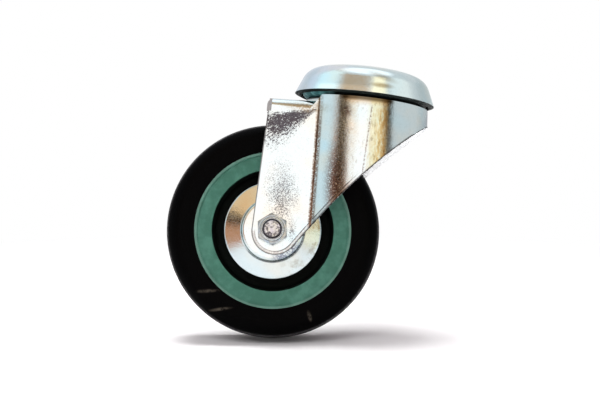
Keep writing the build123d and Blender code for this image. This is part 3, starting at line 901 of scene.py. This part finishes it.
# sizes in metres; Patches and Waves are how many blotches of noise lie in a metre
burrLook = {"Thickness": 0.00025, "Unevenness": 0.85, "Step": 0.00030, "Wander": 0.00012,
            "Patches": 900.0, "Waves": 700.0, "Seed": 7.0, "WaveSeed": 10.0}
burrSides = 6
burrPatchRange = (0.40, 0.62)
burrTint = {
    "dark": (0.035, 0.033, 0.036),
    "bright": (0.34, 0.35, 0.36),
    "brightRange": (0.52, 0.66),
    "grainSize": 0.0009,
    "metal": 0.8,
    "roughness": 0.34,
    "grainRoughness": 0.2,
    "specular": 0.2,
}
# which of the fork's vertices make the corner: on the arc, on the near leg's or the crown's face
cornerLook = {"legFront": -0.0195, "legOut": 0.0215, "crownOut": 0.0300,
              "offArc": 0.00006, "spacing": 0.0002}


# the sheet's outer corner along the bowed lower edge of the fork's near side, point by point
def lowerCorner():
    look = cornerLook
    arcX, arcZ, arcRadius = forkLook["edgeArc"]
    found = []
    for vertex in frame["nodes"]["fork"].data.vertices:
        x, y, z = vertex.co
        onLeg = x < look["legFront"] and abs(y) > look["legOut"]
        onCrown = math.hypot(x, y) > look["crownOut"]
        onArc = abs(math.hypot(x - arcX, z - arcZ) - arcRadius) < look["offArc"]
        if y < 0 and onArc and (onLeg or onCrown):
            found.append((math.atan2(z - arcZ, x - arcX), x, y, z))
    points = []
    for turn, *point in sorted(found):
        if not points or math.dist(points[-1], point) > look["spacing"]:
            points.append(point)
    return points


def burrZinc():
    look = burrTint
    paint = Paint(bpy.data.materials.new("burrZinc"))
    grain = paint.noise(paint.place(), look["grainSize"], 3.0, 0.7)
    colour = paint.mix(grain.between(*look["brightRange"]), look["dark"], look["bright"])
    return paint.finish(Base_Color=colour, Metallic=look["metal"],
                        Roughness=look["roughness"] + grain * look["grainRoughness"],
                        Specular_IOR_Level=look["specular"])


# burr that the shears left along the fork's lower edge: a thin uneven bead on the sheet's corner
def edgeBurr():
    points = lowerCorner()
    mesh = bpy.data.meshes.new("edgeBurr")
    mesh.from_pydata(points, [(i, i + 1) for i in range(len(points) - 1)], [])
    burr = bpy.data.objects.new("edgeBurr", mesh)
    bpy.context.scene.collection.objects.link(burr)
    tree = Grower("burrTree", burrLook)
    given = tree.given
    path = tree.node("GeometryNodeMeshToCurve", None, {"Mesh": given["Geometry"]})
    path = tree.node("GeometryNodeResampleCurve", {"mode": "LENGTH"},
                     {"Curve": path, "Length": given["Step"]})
    spot = tree.node("GeometryNodeInputPosition")
    patchy = tree.node("ShaderNodeTexNoise", {"noise_dimensions": "4D"},
                       {"Vector": spot, "W": given["Seed"], "Scale": given["Patches"]})
    stray = tree.node("ShaderNodeTexNoise", {"noise_dimensions": "4D"},
                      {"Vector": spot, "W": given["WaveSeed"], "Scale": given["Waves"]}, out=1)
    stray = tree.node("ShaderNodeVectorMath", {"operation": "SUBTRACT"},
                      {0: stray, 1: (0.5, 0.5, 0.5)})
    stray = tree.node("ShaderNodeVectorMath", {"operation": "SCALE"},
                      {0: stray, "Scale": given["Wander"]})
    path = tree.node("GeometryNodeSetPosition", None, {"Geometry": path, "Offset": stray})
    thinning = given["Unevenness"] * patchy.between(*burrPatchRange)
    ring = tree.node("GeometryNodeCurvePrimitiveCircle", {"mode": "RADIUS"},
                     {"Resolution": burrSides, "Radius": 1.0})
    bead = tree.node("GeometryNodeCurveToMesh", None,
                     {"Curve": path, "Profile Curve": ring, "Fill Caps": True,
                      "Scale": given["Thickness"] * (1.0 - thinning)})
    burr.data = tree.grown(burr, bead, burrZinc())
    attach(burr, "fork_body")
    return burr


burr = edgeBurr()
print("burr grown:", len(burr.data.polygons), "faces")


# the camera of the photograph, just under the head; the caster leans to the right in its picture
cameraLook = {
    "at": (-0.01765, -0.77852, -0.11643),
    "forward": (-0.00958, 0.99773, 0.06667),
    "right": (0.99377, 0.00209, 0.11147),
    "lens": 98.85,
    "sensor": 36.0,
    "clipStart": 0.01,
}
forward = Vector(cameraLook["forward"]).normalized()
right = Vector(cameraLook["right"])
right = (right - right.dot(forward) * forward).normalized()
up = right.cross(forward)
cameraData = bpy.data.cameras.new("photoCamera")
cameraData.lens = cameraLook["lens"]
cameraData.sensor_width = cameraLook["sensor"]
cameraData.clip_start = cameraLook["clipStart"]
camera = bpy.data.objects.new("photoCamera", cameraData)
bpy.context.scene.collection.objects.link(camera)
turned = Matrix((right, up, -forward)).transposed().to_4x4()
camera.matrix_world = Matrix.Translation(cameraLook["at"]) @ turned
bpy.context.scene.camera = camera
print("camera placed")


# floor: level in the picture, rising away from the camera, and touching the tyre
floorLook = {
    "pitch": 5.5,
    "size": 3.0,
    "white": (0.95, 0.945, 0.95),
    "glowNear": 0.03,                   # it glows pure white away from the caster, hardly close by
    "fadeFrom": 0.16,
    "fadeTo": 0.42,
}
pitch = math.radians(floorLook["pitch"])
floorUp = (up * math.cos(pitch) - forward * math.sin(pitch)).normalized()
floorAway = floorUp.cross(right).normalized()
drop = min((v.co - wheelCentre).dot(floorUp) for v in frame["nodes"]["tyre"].data.vertices)
turned = Matrix((right, floorAway, floorUp)).transposed().to_4x4()
level = Matrix.Translation(wheelCentre) @ turned
half = floorLook["size"]
corners = [(half * a, half * b, drop) for a, b in ((-1, -1), (1, -1), (1, 1), (-1, 1))]
mesh = bpy.data.meshes.new("floor")
mesh.from_pydata(corners, [], [(0, 1, 2, 3)])
floor = bpy.data.objects.new("floor", mesh)
bpy.context.scene.collection.objects.link(floor)
floor.matrix_world = level

# the floor keeps to the wheel's height when the fork is turned
floorLevel = bpy.data.objects.new("floorLevel", None)
wheelHeight = bpy.data.objects.new("wheelHeight", None)
for guide in (floorLevel, wheelHeight):
    bpy.context.scene.collection.objects.link(guide)
    guide.matrix_world = level
wheelHeight.parent = frame["bodies"]["fork_body"]
follow = floor.constraints.new("COPY_LOCATION")
follow.target = wheelHeight
follow.use_x = follow.use_y = False
follow.owner_space = follow.target_space = "CUSTOM"
follow.space_object = floorLevel

paint = Paint(bpy.data.materials.new("floorWhite"))
rays = paint.node("ShaderNodeLightPath")
seen = Flow(paint, rays.socket.node.outputs["Is Camera Ray"])
away = paint.node("ShaderNodeVectorMath", {"operation": "DISTANCE"},
                  {0: paint.place(), 1: (0.0, 0.0, drop)}, out="Value")
share = away.between(floorLook["fadeFrom"], floorLook["fadeTo"], floorLook["glowNear"], 1.0)
shade = paint.node("ShaderNodeBsdfDiffuse", None, {"Color": floorLook["white"]})
glow = paint.node("ShaderNodeEmission", None, {"Color": (1.0, 1.0, 1.0), "Strength": 1.0})
both = paint.node("ShaderNodeMixShader", None, {0: seen * share, 1: shade, 2: glow})
paint.node("ShaderNodeOutputMaterial", None, {"Surface": both})
mesh.materials.append(paint.owner)
print("floor laid")


# world: plain white to the camera and in reflections, a soft fill on everything else
worldLook = {"fill": 0.42, "background": 1.0, "fillTint": (1.0, 0.91, 0.94)}
world = bpy.data.worlds.new("studio")
bpy.context.scene.world = world
paint = Paint(world)
rays = paint.node("ShaderNodeLightPath").socket.node.outputs
straight = [Flow(paint, rays[f"Is {kind} Ray"]) for kind in ("Camera", "Glossy", "Transmission")]
sight = straight[0].most(straight[1]).most(straight[2])
strength = worldLook["fill"] + sight * (worldLook["background"] - worldLook["fill"])
tint = paint.mix(sight, worldLook["fillTint"], (1.0, 1.0, 1.0))
sky = paint.node("ShaderNodeBackground", None, {"Color": tint, "Strength": strength})
paint.node("ShaderNodeOutputWorld", None, {"Surface": sky})


# studio cards round the caster, seen only in the metal: azimuths and elevations in degrees,
# azimuth -90 at the camera; an earlier card stands before a later one
cardLook = {
    "radius": 1.2,
    "spacing": 0.01,
    "middle": (-0.01, 0.0, -0.05),
    "steps": 24,
    "cards": [
        # name, azimuths, elevations, light, soft share of the edge
        ("zenithBox", (-180, 180), (62, 90), (1.95, 1.95, 2.0), 0.35),
        ("leftDim", (-270, -208), (6, 46), (0.90, 0.92, 1.00), 0.30),
        ("capCyan", (-206, -145), (28, 66), (1.32, 1.56, 1.62), 0.25),
        ("capTan", (-155, -74), (34, 61), (0.80, 0.55, 0.35), 0.24),
        ("capGold", (-80, -44), (34, 61), (2.15, 1.80, 1.22), 0.20),
        ("capRight", (-46, 14), (28, 60), (1.42, 1.40, 1.34), 0.25),
        ("backBox", (92, 172), (12, 76), (1.14, 1.12, 1.24), 0.25),
        ("rightDim", (12, 90), (6, 42), (0.72, 0.78, 0.80), 0.30),
        ("darkFlag", (-138, -119), (1.0, 13), (0.035, 0.022, 0.004), 0.09),
        ("copperFlag", (-145, -112), (-27, 7), (0.90, 0.38, 0.19), 0.12),
        ("tanFlag", (-141, -100), (7, 38), (1.40, 0.95, 0.54), 0.14),
        ("frontBox", (-117, -78), (-22, 22), (2.02, 1.82, 1.77), 0.12),
        ("creamBox", (-82, -57), (-20, 22), (1.85, 1.62, 1.16), 0.12),
        ("guardCream", (-62, -44), (-22, 6), (1.50, 1.38, 1.10), 0.15),
        ("goldFlag", (-62, -50), (2, 22), (0.95, 0.55, 0.20), 0.15),
        ("brownFlag", (-56, -39), (2, 24), (0.02, 0.010, 0.003), 0.10),
        ("topFlag", (-106, -70), (20, 40), (1.20, 0.86, 0.54), 0.12),
        ("lowBox", (-112, -52), (-60, -20), (1.36, 1.44, 1.56), 0.15),
        ("crownBlue", (-178, -143), (-8, 14), (1.16, 1.30, 1.36), 0.25),
    ],
}


# a patch of a sphere round the caster, with its UV map from edge to edge
def cardMesh(name, azimuths, elevations, radius):
    steps = cardLook["steps"]
    points, faces, corners = [], [], []
    for row in range(steps + 1):
        rise = math.radians(elevations[0] + (elevations[1] - elevations[0]) * row / steps)
        for column in range(steps + 1):
            turn = math.radians(azimuths[0] + (azimuths[1] - azimuths[0]) * column / steps)
            way = Vector((math.cos(turn) * math.cos(rise), math.sin(turn) * math.cos(rise),
                          math.sin(rise)))
            points.append(Vector(cardLook["middle"]) + way * radius)
            corners.append((column / steps, row / steps))
            if row and column:
                here = row * (steps + 1) + column
                faces.append((here, here - 1, here - steps - 2, here - steps - 1))
    mesh = bpy.data.meshes.new(name)
    mesh.from_pydata(points, [], faces)
    layer = mesh.uv_layers.new(name="UVMap")
    for loop in mesh.loops:
        layer.data[loop.index].uv = corners[loop.vertex_index]
    return mesh


def studioCard(index, name, azimuths, elevations, light, soft):
    mesh = cardMesh(name, azimuths, elevations, cardLook["radius"] + index * cardLook["spacing"])
    card = bpy.data.objects.new(name, mesh)
    bpy.context.scene.collection.objects.link(card)
    paint = Paint(bpy.data.materials.new(name))
    u, v, w = paint.xyz(paint.node("ShaderNodeTexCoord", out="UV"))
    fade = v.between(0.0, soft)
    # a card that goes right round has only its lower edge
    if azimuths[1] - azimuths[0] < 360:
        fade = fade * v.between(1.0, 1.0 - soft)
        fade = fade * u.between(0.0, soft) * u.between(1.0, 1.0 - soft)
    glow = paint.node("ShaderNodeEmission", None, {"Color": light, "Strength": 1.0})
    clear = paint.node("ShaderNodeBsdfTransparent")
    both = paint.node("ShaderNodeMixShader", None, {0: fade, 1: clear, 2: glow})
    paint.node("ShaderNodeOutputMaterial", None, {"Surface": both})
    mesh.materials.append(paint.owner)
    card.visible_camera = False
    card.visible_diffuse = False
    card.visible_transmission = False
    card.visible_shadow = False


for index, card in enumerate(cardLook["cards"]):
    studioCard(index, *card)

lampLook = [
    # name, place, aimed at, size, watts
    ("overheadLamp", (-0.20, -0.04, 0.76), (-0.03, 0.0, -0.06), 0.50, 9.0),
    ("frontLamp", (-0.30, -0.80, 0.30), (-0.02, 0.0, -0.06), 0.6, 4.0),
]
for name, place, target, size, watts in lampLook:
    data = bpy.data.lights.new(name, "AREA")
    data.shape = "DISK"
    data.size = size
    data.energy = watts
    lamp = bpy.data.objects.new(name, data)
    bpy.context.scene.collection.objects.link(lamp)
    lamp.location = place
    aim = Vector(target) - Vector(place)
    lamp.rotation_euler = aim.to_track_quat("-Z", "Y").to_euler()
    lamp.visible_glossy = False
print("studio lit")

bpy.context.scene.view_settings.view_transform = "Standard"
